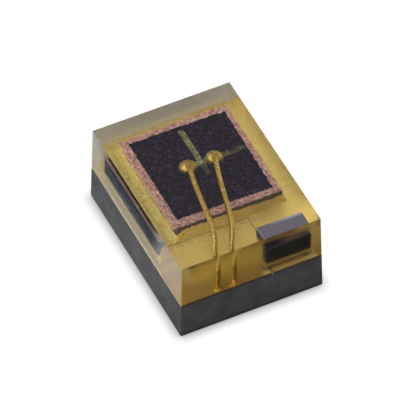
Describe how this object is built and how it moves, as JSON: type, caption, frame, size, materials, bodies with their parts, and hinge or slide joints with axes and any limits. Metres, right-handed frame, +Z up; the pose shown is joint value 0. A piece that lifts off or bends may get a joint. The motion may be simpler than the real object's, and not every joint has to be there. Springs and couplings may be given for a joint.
{
  "type": "infrared LED chip package",
  "caption": "Surface-mount infrared emitter: dark laminate base with solder terminals, gold pads, a large die with bond wires and a protection diode under a sawn block of clear epoxy.",
  "frame": {"origin": "middle of the foot, in the plane of the solder terminals", "axes": "+Z up through the clear top, +Y along the length from the bond pad to the die, +X to the right seen from the bond pad's end"},
  "size_m": [0.0012, 0.0016, 0.0008],
  "materials": {
    "laminate": "matt, sawn edges",
    "resist": "satin",
    "gold_plating": "satin gold over copper",
    "copper": "plain",
    "silver_adhesive": "satin, metal filled",
    "carrier": "sawn semiconductor",
    "mirror_metal": "satin pink metal",
    "film": "glossy semiconductor",
    "contact_metal": "satin",
    "gold_wire": "polished gold",
    "solder": "satin",
    "silicon": "sawn walls, polished top",
    "clear_epoxy": "clear, fine saw marks on the sides"
  },
  "bodies": {
    "root": {"substrate": "laminate", "solder_resist": "resist", "die_terminal": "gold_plating", "bond_terminal": "gold_plating", "die_vias": "copper", "bond_vias": "copper", "die_pad": "gold_plating", "bond_pad": "gold_plating", "die_attach": "silver_adhesive", "die_carrier": "carrier", "mirror_metal": "mirror_metal", "emitting_film": "film", "top_contact": "contact_metal", "left_wire": "gold_wire", "right_wire": "gold_wire", "diode_joints": "solder", "protection_diode": "silicon", "encapsulant": "clear_epoxy"}
  },
  "joints": []
}
